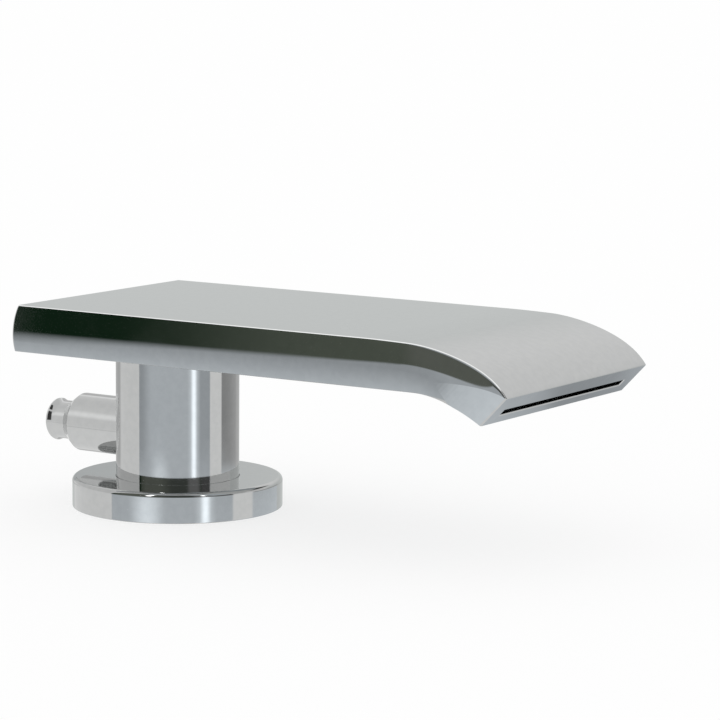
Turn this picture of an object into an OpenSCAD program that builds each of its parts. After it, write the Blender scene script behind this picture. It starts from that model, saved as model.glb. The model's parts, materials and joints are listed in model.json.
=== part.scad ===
// Deck-mounted bath spout: a flat blade that curves down at its outlet, on a round column with a
// flange, and a pull knob behind the column that sends the water to a hose outlet instead.
// +Z is up, z = 0 is the top of the deck, the column stands on the Z axis, the outlet faces +X.

/* [Blade] */
// Height of the blade's flat top above the deck
top_z = 69; // [64:0.5:90]
// Column axis to the top edge of the outlet
reach = 151.7; // [130:0.1:190]
// Column axis to the blade's rear end
rear_len = 31.5; // [28:0.5:45]
// Width of the blade's flat top
blade_w = 88; // [80:1:110]
// Thickness of the straight part
blade_t = 15; // [14:0.5:18]
// Thickness at the outlet
lip_t = 12.5; // [12:0.5:14]
// Radius of the swelling sides
side_r = 15.5; // [14:0.5:20]
// Depth below the top at which the sides are widest
side_drop = 9.3; // [8:0.1:10]
// Radius of the top face in the downward bend
bend_r = 51; // [47:1:60]
// Angle through which the blade bends down
bend_a = 44; // [38:1:48]
// Radius of the underside in the bend
under_r = 35; // [32:1:37]
// Wall of the hollow blade
shell_wall = 2; // [1.6:0.1:2.4]
// Wall that closes the hollow behind the outlet
end_wall = 4; // [3:0.5:6]

/* [Outlet] */
// Width of the outlet slot
slot_w = 75; // [60:1:80]
// Height of the outlet slot
slot_h = 2.5; // [2:0.1:3]
// Top edge of the outlet down to the slot
slot_drop = 6.3; // [5:0.1:7]
// Holes in the diffuser behind the slot
diffuser_holes = 13; // [9:1:15]
// Diameter of each diffuser hole
diffuser_hole_d = 3.6; // [2.5:0.1:4]
// Thickness of the diffuser plate
diffuser_t = 1.6; // [1.2:0.1:2.5]
// Outlet face to the diffuser plate
diffuser_back = 11; // [9:0.5:14]

/* [Underside plate] */
// Thickness of the plate that closes the blade from below
plate_t = 1.2; // [0.8:0.1:1.4]
// Width of the plate
plate_w = 80; // [70:1:82]
// Ledge that the plate rests on, all round
plate_ledge = 3; // [2:0.5:5]
// Column axis to the plate's rear edge
plate_x = 27; // [25:0.5:40]

/* [Column and flange] */
// Outer diameter of the column
column_d = 41; // [40:0.5:46]
// Wall of the column
column_wall = 2; // [1.8:0.1:2.2]
// Diameter of the flange
flange_d = 70; // [66:1:90]
// Height of the flange
flange_h = 10; // [8:0.5:12]
// Rounding of the flange's top edge
flange_edge_r = 1.5; // [0.5:0.1:2.5]
// Lip of the flange that the column stands on
flange_lip_t = 2; // [1.5:0.1:3]
// Height of the gasket under the flange
gasket_t = 3; // [2:0.5:4]
// Radial width of the gasket
gasket_w = 9; // [6:0.5:10]

/* [Pull knob] */
// Height of the knob's axis above the deck
axis_z = 24.2; // [23:0.1:26]
// How far the knob pulls out
pull_travel = 8; // [6:0.5:9]
// Diameter of the bonnet that the knob slides in
bonnet_d = 19.6; // [18:0.1:20]
// Column axis to the bonnet's chamfer
bonnet_len = 39.1; // [37:0.1:50]
// Length of the bonnet's chamfer
bonnet_chamfer = 3.9; // [2:0.1:5]
// Rim left round the bonnet's mouth
bonnet_rim = 0.4; // [0.3:0.1:1]
// Diameter of the knob's stem
stem_d = 13; // [12:0.1:13.4]
// Diameter of the knob's rim
knob_d = 14.7; // [14:0.1:18]
// Stem showing between bonnet and flare
stem_show = 3.5; // [2:0.1:6]
// Length of the flare
flare_l = 3.1; // [2:0.1:4]
// Thickness of the rim behind the flare
knob_rim_t = 1.2; // [1:0.1:3]
// Diameter of the spindle
spindle_d = 5; // [4.6:0.1:5.4]
// Length of the spindle's thread inside the knob
spindle_thread_l = 10; // [6:0.5:11]

/* [Valve] */
// Bore of the valve body
bore_d = 15.6; // [15:0.1:16]
// Opening of both valve seats
seat_d = 10; // [9.6:0.1:10.4]
// Thickness of the screwed-in seat
seat_t = 1.8; // [1.4:0.1:2.4]
// Diameter of the valve disc and its washers
disc_d = 13.6; // [13:0.1:14]
// Thickness of the disc
disc_t = 0.9; // [0.8:0.1:1.4]
// Thickness of each disc washer
washer_t = 1.2; // [1:0.1:1.5]
// Length of the bonnet's thread in the valve body
bonnet_thread_l = 3.4; // [3:0.1:4]
// Length of the chamber that feeds the blade
blade_chamber_l = 4.3; // [4.2:0.1:5]
// Diameter of each riser from that chamber
riser_d = 4.1; // [3:0.1:4.1]
// Spacing of the risers
riser_pitch = 4.8; // [4.6:0.1:5]
// Height of the space above the risers
plenum_h = 2.5; // [2:0.1:3]
// Bore of the boss that carries the blade
boss_bore_d = 16; // [12:0.5:17]
// Wire of the return spring
spring_wire_d = 0.5; // [0.4:0.1:0.9]
// Turns of the return spring
spring_turns = 7; // [5:1:8]

/* [Deck fixing] */
// Thickness of the deck that is clamped
deck_t = 20; // [5:1:28]
// Diameter of the threaded shank
shank_d = 33; // [32.4:0.1:33.4]
// Length of the shank below the deck's top
shank_l = 55; // [46:1:80]
// Diameter of the washers under the deck
deck_washer_d = 48; // [46:1:60]
// Thickness of the rubber washer
rubber_washer_t = 3; // [2:0.5:4]
// Thickness of the steel washer
steel_washer_t = 2; // [1.5:0.5:3]
// Width across the flats of the back nut
nut_af = 41; // [40:0.5:46]
// Height of the back nut
nut_h = 8; // [6:0.5:10]

/* [Tails] */
// Outer diameter of the copper tails
tail_d = 12; // [11:0.1:12.2]
// Wall of the tails
tail_wall = 1; // [0.8:0.1:1.2]
// Spacing of the tails inside the shank
tail_pitch = 15; // [14.6:0.1:17]
// Gap between the tails and the shank's bore
tail_gap = 0.3; // [0.2:0.1:0.6]
// Spacing of the tails at their lower ends
tail_spread = 44; // [40:1:60]
// Radius of the tails' bends
tail_bend_r = 22; // [16:1:26]
// Angle of the tails' bends
tail_bend_a = 40; // [36:1:50]
// Thread diameter of the unions, 1/2 inch pipe thread
union_d = 20.96; // [20:0.02:22]
// Thread length of the unions
union_l = 12; // [8:1:16]
// Width across the flats of the unions
union_af = 24; // [23:1:28]
// Height of the unions' hexagon
union_hex_h = 8; // [6:1:10]

/* [Hidden] */
$fn = 96;

// Clearances
fit_gap = 0.05;
slide_gap = 0.1;
loose_gap = 0.2;
seat_gap = 0.05;
ring_gap = 0.02;
shank_hole_gap = 0.5;
// Width of an O-ring's groove over the ring's own
groove_ratio = 1.1;
// How far a cut runs past the face it opens
past = 1;

// Blade, worked out from its bend
blade_bottom_z = top_z - blade_t;
bend_x = reach - bend_r * sin(bend_a);
bend_cz = top_z - bend_r;
outlet_z = top_z - bend_r * (1 - cos(bend_a));
under_end_x = reach - lip_t * sin(bend_a);
under_drop = blade_bottom_z - outlet_z + lip_t * cos(bend_a);
under_a = acos(1 - under_drop / under_r);
under_x = under_end_x - under_r * sin(under_a);
under_cz = blade_bottom_z - under_r;
side_cy = blade_w / 2 - sqrt(side_r * side_r - side_drop * side_drop);
side_swell = side_cy + side_r - blade_w / 2;
trim_run = bend_r / 2;
trim_a = atan(side_swell / trim_run);
half_w = side_cy + side_r + past;
end_wall_a = 2 * asin(end_wall / 2 / bend_r);
plate_end_x = under_x - plate_ledge - shell_wall;
// How far the bend is drawn below the straight underside before the underside's arc cuts it
bend_reserve = 3;
// How much thicker the blade is at the diffuser than at the outlet
diffuser_extra_t = 0.8;

// Column stack, from the deck up
column_r = column_d / 2;
column_bore_r = column_r - column_wall;
core_r = column_bore_r - loose_gap;
shank_head_h = 4;
body_z = flange_lip_t + shank_head_h;
gasket_margin = 1.75;
gasket_in_r = column_r + gasket_margin;
gasket_out_r = gasket_in_r + gasket_w;
plenum_wall = 2.3;
bore_roof_t = 2.2;
boss_spigot_r = core_r - plenum_wall - slide_gap;
boss_spigot_l = 3.8;
plenum_z = axis_z + bore_d / 2 + bore_roof_t;
body_top_z = plenum_z + plenum_h + boss_spigot_l;
boss_tip_r = 9;
boss_ring_r = 0.73;
boss_groove_z = body_top_z - boss_spigot_l / 2;
grub_r = 2;
grub_l = 5.4;
grub_sink = 0.3;
grub_key_l = 1.7;
grub_z = (body_top_z + blade_bottom_z) / 2;
grub_in_s = column_r - grub_sink - grub_l;
hex_key = 2.2;

// Diverter, as distances behind the column axis
bonnet_r = bonnet_d / 2;
bore_r = bore_d / 2;
seat_r = seat_d / 2;
shoulder_s = sqrt(core_r * core_r - bonnet_r * bonnet_r) - seat_gap;
bonnet_in_s = shoulder_s - bonnet_thread_l;
seat_out_s = bonnet_in_s - blade_chamber_l;
seat_in_s = seat_out_s - seat_t;
stack_t = disc_t + 2 * washer_t;
front_seat_s = seat_in_s - stack_t - pull_travel - 2 * seat_gap;
front_washer_s = front_seat_s + seat_gap;
disc_s = front_washer_s + washer_t;
rear_washer_s = disc_s + disc_t;
collar_s = rear_washer_s + washer_t;
collar_t = 2;
collar_r = 4.4;
spindle_r = spindle_d / 2;
spindle_tip_r = 2;
spindle_past_nut = 0.4;
mouth_s = bonnet_len + bonnet_chamfer;
stem_held_l = 4.2;
stem_bore_l = pull_travel + stem_held_l;
stem_bore_s = mouth_s - stem_bore_l;
stem_in_s = stem_bore_s + loose_gap;
flare_s = mouth_s + stem_show;
rim_s = flare_s + flare_l;
knob_end_s = rim_s + knob_rim_t;
knob_edge_r = 0.5;
gland_r = 4.5;
gland_ring_r = 0.95;
gland_bush_t = 2;
gland_in_s = stem_bore_s - gland_bush_t - 4 * gland_ring_r - seat_gap;
spring_stop_t = 2.9;
spring_stop_s = gland_in_s - spring_stop_t;
spring_r = 3.75;
spring_room = 1.2;
bonnet_ring_r = 0.68;
bonnet_groove_l = 2 * (bonnet_ring_r + ring_gap);
disc_nut_t = 2.7;
disc_nut_af = 7;
riser_s = (bonnet_in_s + seat_out_s) / 2;

// Tails and their ports in the valve body
tail_r = tail_d / 2;
tail_x = tail_pitch / 2;
socket_r = tail_r + fit_gap;
socket_l = 7;
socket_z = body_z + socket_l;
tail_ring_r = 0.5;
tail_groove_z = body_z + socket_l / 2;
shank_bore_r = tail_x + tail_r + tail_gap;
port_r = 3.2;
port_margin = 0.6;
gallery_roof_t = 0.8;
gallery_z = axis_z - bore_r - gallery_roof_t;
inlet_port_shift = 2;
inlet_port_x = -(seat_in_s + front_seat_s) / 2 - inlet_port_shift;
hose_port_x = -front_seat_s + port_r + port_margin;
hose_chamber_end_x = max(hose_port_x, tail_x) + port_r + port_margin;
tail_below_shank = 3;
tail_bend_z = -shank_l - tail_below_shank;
tail_bend_dx = tail_bend_r * (1 - cos(tail_bend_a));
tail_bend_dz = tail_bend_r * sin(tail_bend_a);
tail_run = (tail_spread / 2 - tail_x - 2 * tail_bend_dx) / sin(tail_bend_a);
tail_low_z = tail_bend_z - 2 * tail_bend_dz - tail_run * cos(tail_bend_a);
tail_above_union = 2;
union_top_z = tail_low_z - tail_above_union;
union_socket_l = 12;
tail_end_z = union_top_z - union_socket_l;
union_end_z = union_top_z - union_hex_h - union_l;

// Turns its children so that their +Z runs out behind the column, along the knob's axis
module rearward() {
    translate([0, 0, axis_z])
        rotate([0, -90, 0])
            children();
}

// Puts its children in the outlet's frame: +X out of the face, +Z up along it from the top edge
module at_outlet() {
    translate([reach, 0, outlet_z])
        rotate([0, bend_a, 0])
            children();
}

// A tube or plain ring between two heights
module ring(r_out, r_in, z0, z1) {
    translate([0, 0, z0])
        difference() {
            cylinder(r = r_out, h = z1 - z0);
            translate([0, 0, -past])
                cylinder(r = r_in, h = z1 - z0 + 2 * past);
        }
}

// A plain cylinder between two heights
module rod(r, z0, z1) {
    translate([0, 0, z0])
        cylinder(r = r, h = z1 - z0);
}

// An O-ring of section radius s_r whose centre line has radius r
module oring(r, s_r, z) {
    translate([0, 0, z])
        rotate_extrude()
            translate([r, 0])
                circle(s_r, $fn = 48);
}

// A hexagonal prism, a across the flats
module hexagon(a, z0, z1) {
    translate([0, 0, z0])
        cylinder(d = a / cos(30), h = z1 - z0, $fn = 6);
}

// Two triangles between ring a's and ring b's point k and the next one round
function ring_strip(a, b, sides) = [
    for (k = [0 : sides - 1])
        let (n = (k + 1) % sides)
        each [[a * sides + k, b * sides + n, b * sides + k], [a * sides + k, a * sides + n, b * sides + n]]
];

// The blade's cross-section, drawn with its height as a radius from the bend's centre.
// inset draws the hollow inside it, and deeper carries the sides on below the underside.
module blade_section(inset, deeper) {
    bottom = bend_r - blade_t + inset - deeper;
    band = blade_t - 2 * inset + deeper;
    intersection() {
        translate([-half_w, bottom])
            square([2 * half_w, band]);
        union() {
            translate([-side_cy, bottom])
                square([2 * side_cy, band]);
            for (side = [-1, 1])
                translate([side * side_cy, bend_r - side_drop])
                    circle(side_r - inset);
        }
    }
}

// The whole blade as a solid form, or the hollow inside it when inset is the wall
module blade_form(inset, sweep_a) {
    difference() {
        union() {
            translate([inset - rear_len, 0, bend_cz])
                rotate([90, 0, 90])
                    linear_extrude(rear_len - inset + bend_x)
                        blade_section(inset, 0);
            translate([bend_x, 0, bend_cz])
                rotate([0, -90, -90])
                    rotate_extrude(angle = sweep_a)
                        rotate(-90)
                            blade_section(inset, bend_reserve);
        }
        translate([bend_x - past, -half_w, under_cz])
            cube([under_x - bend_x + past, 2 * half_w, under_r + inset]);
        translate([under_x, half_w, under_cz])
            rotate([90, 0, 0])
                cylinder(r = under_r + inset, h = 2 * half_w);
        at_outlet()
            for (side = [0, 1])
                mirror([0, side, 0])
                    translate([0, blade_w / 2 - inset, 0])
                        rotate([0, 0, -trim_a])
                            translate([-bend_r, 0, -bend_r / 2])
                                cube([bend_r + lip_t, blade_t, bend_r]);
    }
}

module spout_shell() {
    color("silver")
        difference() {
            blade_form(0, bend_a);
            blade_form(shell_wall, bend_a - end_wall_a);
            // Outlet slot
            at_outlet()
                translate([-end_wall - past, -slot_w / 2, -slot_drop - slot_h])
                    cube([end_wall + 2 * past, slot_w, slot_h]);
            // Opening in the floor, and the rebate that holds the underside plate
            translate([plate_x + plate_ledge, -plate_w / 2 + plate_ledge, blade_bottom_z - past])
                cube([plate_end_x - plate_x - 2 * plate_ledge, plate_w - 2 * plate_ledge,
                      shell_wall + 2 * past]);
            translate([plate_x, -plate_w / 2, blade_bottom_z - past])
                cube([plate_end_x - plate_x, plate_w, plate_t + past]);
            // Hole for the boss
            rod(boss_tip_r + fit_gap, blade_bottom_z - past, blade_bottom_z + shell_wall + past);
        }
}

module spout_underside() {
    color("silver")
        translate([plate_x + fit_gap, -plate_w / 2 + fit_gap, blade_bottom_z])
            cube([plate_end_x - plate_x - 2 * fit_gap, plate_w - 2 * fit_gap, plate_t]);
}

// A perforated plate across the hollow, which evens out the flow to the slot
module flow_diffuser() {
    hole_pitch = slot_w / diffuser_holes;
    hole_drop = (lip_t + diffuser_extra_t) / 2;
    color("dimgray")
        difference() {
            intersection() {
                blade_form(shell_wall + fit_gap, bend_a);
                at_outlet()
                    translate([-diffuser_back - diffuser_t, -half_w, -2 * blade_t])
                        cube([diffuser_t, 2 * half_w, 3 * blade_t]);
            }
            at_outlet()
                for (i = [0 : diffuser_holes - 1])
                    translate([-diffuser_back - diffuser_t - past,
                               (i - (diffuser_holes - 1) / 2) * hole_pitch, -hole_drop])
                        rotate([0, 90, 0])
                            cylinder(d = diffuser_hole_d, h = diffuser_t + 2 * past, $fn = 24);
        }
}

// Turned boss under the blade: it fills the column's top and carries water up into the blade
module spout_boss() {
    color("goldenrod")
        difference() {
            union() {
                rod(core_r, body_top_z, blade_bottom_z);
                rod(boss_spigot_r, body_top_z - boss_spigot_l, body_top_z);
                rod(boss_tip_r, blade_bottom_z, blade_bottom_z + shell_wall);
            }
            rod(boss_bore_d / 2, body_top_z - boss_spigot_l - past, blade_bottom_z + shell_wall + past);
            ring(boss_spigot_r + past, boss_spigot_r - 2 * boss_ring_r,
                 boss_groove_z - groove_ratio * boss_ring_r, boss_groove_z + groove_ratio * boss_ring_r);
            translate([0, 0, grub_z])
                rotate([0, -90, 0])
                    rod(grub_r + fit_gap, grub_in_s - fit_gap, core_r + past);
        }
}

module boss_oring() {
    color("black")
        oring(boss_spigot_r - boss_ring_r + seat_gap, boss_ring_r, boss_groove_z);
}

// Grub screw that locks the boss in the column, behind and below the blade
module spout_grub_screw() {
    color("gray")
        translate([0, 0, grub_z])
            rotate([0, -90, 0])
                difference() {
                    rod(grub_r, grub_in_s, grub_in_s + grub_l);
                    hexagon(hex_key, grub_in_s + grub_l - grub_key_l, column_r);
                }
}

module column_tube() {
    color("silver")
        difference() {
            ring(column_r, column_bore_r, flange_lip_t, blade_bottom_z);
            rearward()
                rod(bonnet_r + slide_gap, column_bore_r / 2, column_r + past);
            translate([0, 0, grub_z])
                rotate([0, -90, 0])
                    rod(grub_r + fit_gap, column_bore_r / 2, column_r + past);
        }
}

// Flange: a rounded disc with a lip under the column and a recess for its gasket
module base_flange() {
    flange_r = flange_d / 2;
    color("silver")
        difference() {
            rotate_extrude() {
                square([flange_r, flange_h - flange_edge_r]);
                square([flange_r - flange_edge_r, flange_h]);
                translate([flange_r - flange_edge_r, flange_h - flange_edge_r])
                    circle(flange_edge_r);
            }
            rod(column_r + slide_gap, flange_lip_t, flange_h + past);
            rod(shank_d / 2 + shank_hole_gap, -past, flange_lip_t + past);
            ring(gasket_out_r, gasket_in_r, -past, gasket_t);
        }
}

module flange_gasket() {
    color("black")
        ring(gasket_out_r - slide_gap, gasket_in_r + slide_gap, 0, gasket_t);
}

// Port from a tail's socket, along a gallery and up into its chamber
module tail_port(x_socket, x_port) {
    translate([x_socket, 0, 0]) {
        rod(socket_r, body_z - past, socket_z);
        rod(tail_r + 2 * tail_ring_r + fit_gap, tail_groove_z - groove_ratio * tail_ring_r,
            tail_groove_z + groove_ratio * tail_ring_r);
    }
    translate([0, 0, socket_z - fit_gap])
        linear_extrude(gallery_z - socket_z + fit_gap) {
            translate([x_socket, 0])
                circle(port_r);
            translate([x_port, 0])
                circle(port_r);
            translate([min(x_socket, x_port), -port_r])
                square([abs(x_port - x_socket), 2 * port_r]);
        }
    translate([x_port, 0, 0])
        rod(port_r, gallery_z - fit_gap, axis_z);
}

// Brass valve body inside the column, with the diverter's bore across it
module valve_body() {
    color("goldenrod")
        difference() {
            rod(core_r, body_z, body_top_z);
            // Space above the risers, closed by the boss
            rod(boss_spigot_r + slide_gap, plenum_z, body_top_z + past);
            rearward() {
                rod(bonnet_r + loose_gap, shoulder_s, core_r + past);
                rod(bore_r + 2 * bonnet_ring_r + loose_gap, shoulder_s - bonnet_groove_l,
                    shoulder_s + past);
                rod(bore_r, front_seat_s, core_r);
                rod(seat_r, -hose_chamber_end_x, front_seat_s + past);
            }
            for (i = [-1 : 1])
                translate([-riser_s, i * riser_pitch, 0])
                    rod(riser_d / 2, axis_z, plenum_z + past);
            tail_port(-tail_x, inlet_port_x);
            tail_port(tail_x, hose_port_x);
        }
}

// Seat that the disc closes on when the knob is pulled
module spout_seat() {
    color("goldenrod")
        rearward()
            ring(bore_r - fit_gap, seat_r, seat_in_s, seat_out_s);
}

// Bonnet: the round arm behind the column, bored for the knob's stem, the gland and the spring
module diverter_bonnet() {
    stem_bore_r = stem_d / 2 + slide_gap;
    mouth_r = stem_bore_r + bonnet_rim;
    color("silver")
        rearward()
            difference() {
                union() {
                    rod(bore_r - fit_gap, bonnet_in_s, shoulder_s);
                    rod(bonnet_r, shoulder_s, bonnet_len);
                    translate([0, 0, bonnet_len])
                        cylinder(r1 = bonnet_r, r2 = mouth_r, h = bonnet_chamfer);
                }
                rod(stem_bore_r, stem_bore_s, mouth_s + past);
                rod(gland_r, gland_in_s, stem_bore_s + past);
                rod(spindle_r + fit_gap, spring_stop_s - past, gland_in_s + past);
                rod(spring_r + spring_room, bonnet_in_s - past, spring_stop_s);
            }
}

module bonnet_oring() {
    color("black")
        rearward()
            oring(bore_r + bonnet_ring_r + slide_gap, bonnet_ring_r, shoulder_s - bonnet_groove_l / 2);
}

// Two O-rings on the spindle, side by side in the gland
module gland_orings() {
    color("black")
        rearward()
            for (i = [0, 1])
                oring(spindle_r + gland_ring_r + fit_gap, gland_ring_r,
                      gland_in_s + seat_gap / 2 + gland_ring_r * (1 + 2 * i));
}

module gland_bush() {
    color("goldenrod")
        rearward()
            ring(gland_r - fit_gap, spindle_r + fit_gap, stem_bore_s - gland_bush_t, stem_bore_s);
}

// Pull knob: a stem that slides in the bonnet, flaring to a rounded rim
module diverter_knob() {
    stem_r = stem_d / 2;
    rim_r = knob_d / 2;
    flare_out = rim_r - stem_r;
    flare_r = (flare_l * flare_l + flare_out * flare_out) / 2 / flare_out;
    color("silver")
        rearward()
            difference() {
                rotate_extrude() {
                    translate([0, stem_in_s])
                        square([stem_r, flare_s - stem_in_s]);
                    difference() {
                        translate([0, flare_s])
                            square([rim_r, flare_l]);
                        translate([stem_r + flare_r, flare_s])
                            circle(flare_r);
                    }
                    translate([0, rim_s])
                        square([rim_r, knob_rim_t - knob_edge_r]);
                    translate([0, rim_s])
                        square([rim_r - knob_edge_r, knob_rim_t]);
                    translate([rim_r - knob_edge_r, knob_end_s - knob_edge_r])
                        circle(knob_edge_r, $fn = 32);
                }
                rod(spindle_tip_r + fit_gap, stem_in_s - past, stem_in_s + spindle_thread_l + past);
            }
}

// Spindle from the knob to the disc, with the collar that the spring pushes on
module diverter_spindle() {
    tip_s = front_washer_s - disc_nut_t - spindle_past_nut;
    color("lightgray")
        rearward()
            rotate_extrude()
                polygon([
                    [0, tip_s], [spindle_tip_r, tip_s],
                    [spindle_tip_r, collar_s], [collar_r, collar_s],
                    [collar_r, collar_s + collar_t], [spindle_r, collar_s + collar_t],
                    [spindle_r, stem_in_s], [spindle_tip_r, stem_in_s],
                    [spindle_tip_r, stem_in_s + spindle_thread_l], [0, stem_in_s + spindle_thread_l]
                ]);
}

module disc_washer(s0) {
    rearward()
        ring(disc_d / 2, spindle_tip_r + fit_gap, s0, s0 + washer_t);
}

module rear_washer() {
    color("black")
        disc_washer(rear_washer_s);
}

module front_washer() {
    color("black")
        disc_washer(front_washer_s);
}

module diverter_disc() {
    color("goldenrod")
        rearward()
            ring(disc_d / 2, spindle_tip_r + fit_gap, disc_s, disc_s + disc_t);
}

module disc_nut() {
    color("goldenrod")
        rearward()
            difference() {
                hexagon(disc_nut_af, front_washer_s - disc_nut_t, front_washer_s);
                rod(spindle_tip_r + fit_gap, front_washer_s - disc_nut_t - past, front_washer_s + past);
            }
}

// Return spring, from the bonnet to the spindle's collar, as one unbroken wire
SPRING_SIDES = 6;
SPRING_STEPS = 10;
spring_s0 = collar_s + collar_t + spring_wire_d / 2 + seat_gap;
spring_s1 = spring_stop_s - spring_wire_d / 2 - seat_gap;
spring_pitch = (spring_s1 - spring_s0) / spring_turns;
spring_points = [
    for (i = [0 : spring_turns * SPRING_STEPS])
        for (k = [0 : SPRING_SIDES - 1])
            let (
                turn = 360 * i / SPRING_STEPS,
                round_a = 360 * k / SPRING_SIDES,
                r = spring_r - spring_wire_d / 2 + spring_wire_d / 2 * cos(round_a)
            )
            [r * cos(turn), r * sin(turn),
             spring_s0 + spring_pitch * i / SPRING_STEPS + spring_wire_d / 2 * sin(round_a)]
];
spring_rings = spring_turns * SPRING_STEPS;
spring_faces = concat(
    [for (i = [0 : spring_rings - 1]) each ring_strip(i + 1, i, SPRING_SIDES)],
    [
        for (k = [1 : SPRING_SIDES - 2])
            each [[0, k, k + 1],
                  [spring_rings * SPRING_SIDES, spring_rings * SPRING_SIDES + k + 1,
                   spring_rings * SPRING_SIDES + k]]
    ]
);

module return_spring() {
    color("gray")
        rearward()
            polyhedron(spring_points, spring_faces);
}

// Shank: a head that screws into the column's foot, and a long threaded tube through the deck
module threaded_shank() {
    color("goldenrod")
        difference() {
            union() {
                rod(column_bore_r - slide_gap, flange_lip_t, body_z);
                rod(shank_d / 2, -shank_l, flange_lip_t);
            }
            rod(shank_bore_r, -shank_l - past, body_z + past);
        }
}

module rubber_washer() {
    color("black")
        ring(deck_washer_d / 2, shank_d / 2 + loose_gap, -deck_t - rubber_washer_t, -deck_t);
}

module steel_washer() {
    steel_top_z = -deck_t - rubber_washer_t;
    color("gray")
        ring(deck_washer_d / 2, shank_d / 2 + loose_gap, steel_top_z - steel_washer_t, steel_top_z);
}

module back_nut() {
    nut_top_z = -deck_t - rubber_washer_t - steel_washer_t;
    color("goldenrod")
        difference() {
            hexagon(nut_af, nut_top_z - nut_h, nut_top_z);
            rod(shank_d / 2 + fit_gap, nut_top_z - nut_h - past, nut_top_z + past);
        }
}

// A tail is one hollow tube: rings of points go down its outside, then down its inside.
// Each station is its x, its height and how far the path leans outward there.
TAIL_SIDES = 16;
TAIL_STEPS = 6;
tail_stations = concat(
    [[tail_x, socket_z, 0]],
    [
        for (i = [0 : TAIL_STEPS])
            let (a = tail_bend_a * i / TAIL_STEPS)
            [tail_x + tail_bend_r * (1 - cos(a)), tail_bend_z - tail_bend_r * sin(a), a]
    ],
    [
        for (i = [TAIL_STEPS : -1 : 0])
            let (a = tail_bend_a * i / TAIL_STEPS)
            [tail_spread / 2 - tail_bend_r * (1 - cos(a)), tail_low_z + tail_bend_r * sin(a), a]
    ],
    [[tail_spread / 2, tail_end_z, 0]]
);
tail_rings = len(tail_stations);
tail_points = [
    for (r = [tail_r, tail_r - tail_wall])
        for (p = tail_stations)
            for (k = [0 : TAIL_SIDES - 1])
                let (t = 360 * k / TAIL_SIDES)
                [p[0] + r * cos(t) * cos(p[2]), r * sin(t), p[1] + r * cos(t) * sin(p[2])]
];

tail_faces = [
    for (i = [0 : tail_rings - 2])
        each concat(
            ring_strip(i, i + 1, TAIL_SIDES),
            ring_strip(tail_rings + i + 1, tail_rings + i, TAIL_SIDES)
        ),
    each ring_strip(tail_rings, 0, TAIL_SIDES),
    each ring_strip(tail_rings - 1, 2 * tail_rings - 1, TAIL_SIDES)
];

module tail() {
    polyhedron(tail_points, tail_faces);
}

module inlet_tail() {
    color("peru")
        mirror([1, 0, 0])
            tail();
}

module hose_tail() {
    color("peru")
        tail();
}

module tail_orings() {
    color("black")
        for (side = [-1, 1])
            translate([side * tail_x, 0, 0])
                oring(tail_r + tail_ring_r + ring_gap, tail_ring_r, tail_groove_z);
}

// Threaded unions on the ends of both tails
module tail_unions() {
    color("goldenrod")
        for (side = [-1, 1])
            translate([side * tail_spread / 2, 0, 0])
                difference() {
                    union() {
                        hexagon(union_af, union_top_z - union_hex_h, union_top_z);
                        rod(union_d / 2, union_end_z, union_top_z - union_hex_h);
                    }
                    rod(socket_r, tail_end_z, union_top_z + past);
                    rod(tail_r - tail_wall, union_end_z - past, tail_end_z + past);
                }
}

base_flange();
flange_gasket();
column_tube();
spout_shell();
spout_underside();
flow_diffuser();
spout_boss();
boss_oring();
spout_grub_screw();
valve_body();
spout_seat();
diverter_bonnet();
bonnet_oring();
gland_orings();
gland_bush();
diverter_knob();
diverter_spindle();
rear_washer();
diverter_disc();
front_washer();
disc_nut();
return_spring();
threaded_shank();
rubber_washer();
steel_washer();
back_nut();
inlet_tail();
hose_tail();
tail_orings();
tail_unions();
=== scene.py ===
import json
import math

import bmesh
import bpy
from mathutils import Matrix, Vector


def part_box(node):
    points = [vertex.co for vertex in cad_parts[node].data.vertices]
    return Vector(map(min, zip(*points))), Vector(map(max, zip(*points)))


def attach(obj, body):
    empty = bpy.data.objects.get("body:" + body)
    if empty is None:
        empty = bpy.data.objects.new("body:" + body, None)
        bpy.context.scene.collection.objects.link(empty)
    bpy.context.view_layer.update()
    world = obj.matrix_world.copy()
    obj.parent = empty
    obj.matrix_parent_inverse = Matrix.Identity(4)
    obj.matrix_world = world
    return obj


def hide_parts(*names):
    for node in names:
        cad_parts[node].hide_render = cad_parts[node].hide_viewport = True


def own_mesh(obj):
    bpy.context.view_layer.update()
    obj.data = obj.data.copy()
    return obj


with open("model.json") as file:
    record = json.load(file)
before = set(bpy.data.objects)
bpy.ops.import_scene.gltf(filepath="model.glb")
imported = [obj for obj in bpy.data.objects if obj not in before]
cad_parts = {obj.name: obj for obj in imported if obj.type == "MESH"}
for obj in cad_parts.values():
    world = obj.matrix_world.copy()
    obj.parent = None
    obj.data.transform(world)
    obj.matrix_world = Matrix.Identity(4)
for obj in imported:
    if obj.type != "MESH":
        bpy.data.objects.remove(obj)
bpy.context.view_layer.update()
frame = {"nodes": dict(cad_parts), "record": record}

# Every size below is in millimetres and every angle in degrees, as in the part's source.
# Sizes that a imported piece's box can give are read from it.
MM = 0.001

# Camera, solved from the edges of the blade, column and flange in the photograph
CAMERA_AT = (604.9, -825.1, 194.1)
CAMERA_YAW = -32.857
CAMERA_PITCH = -8.084
CAMERA_ROLL = 0.467
CAMERA_LENS = 155.49
SENSOR_W = 36.0
CAMERA_FAR_M = 100


def lowest(node):
    """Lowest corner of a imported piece, in millimetres."""
    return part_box(node)[0] / MM


def highest(node):
    """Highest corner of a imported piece, in millimetres."""
    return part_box(node)[1] / MM


# Blade
TOP_Z = highest("spout_shell").z
REACH = highest("spout_shell").x
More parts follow.
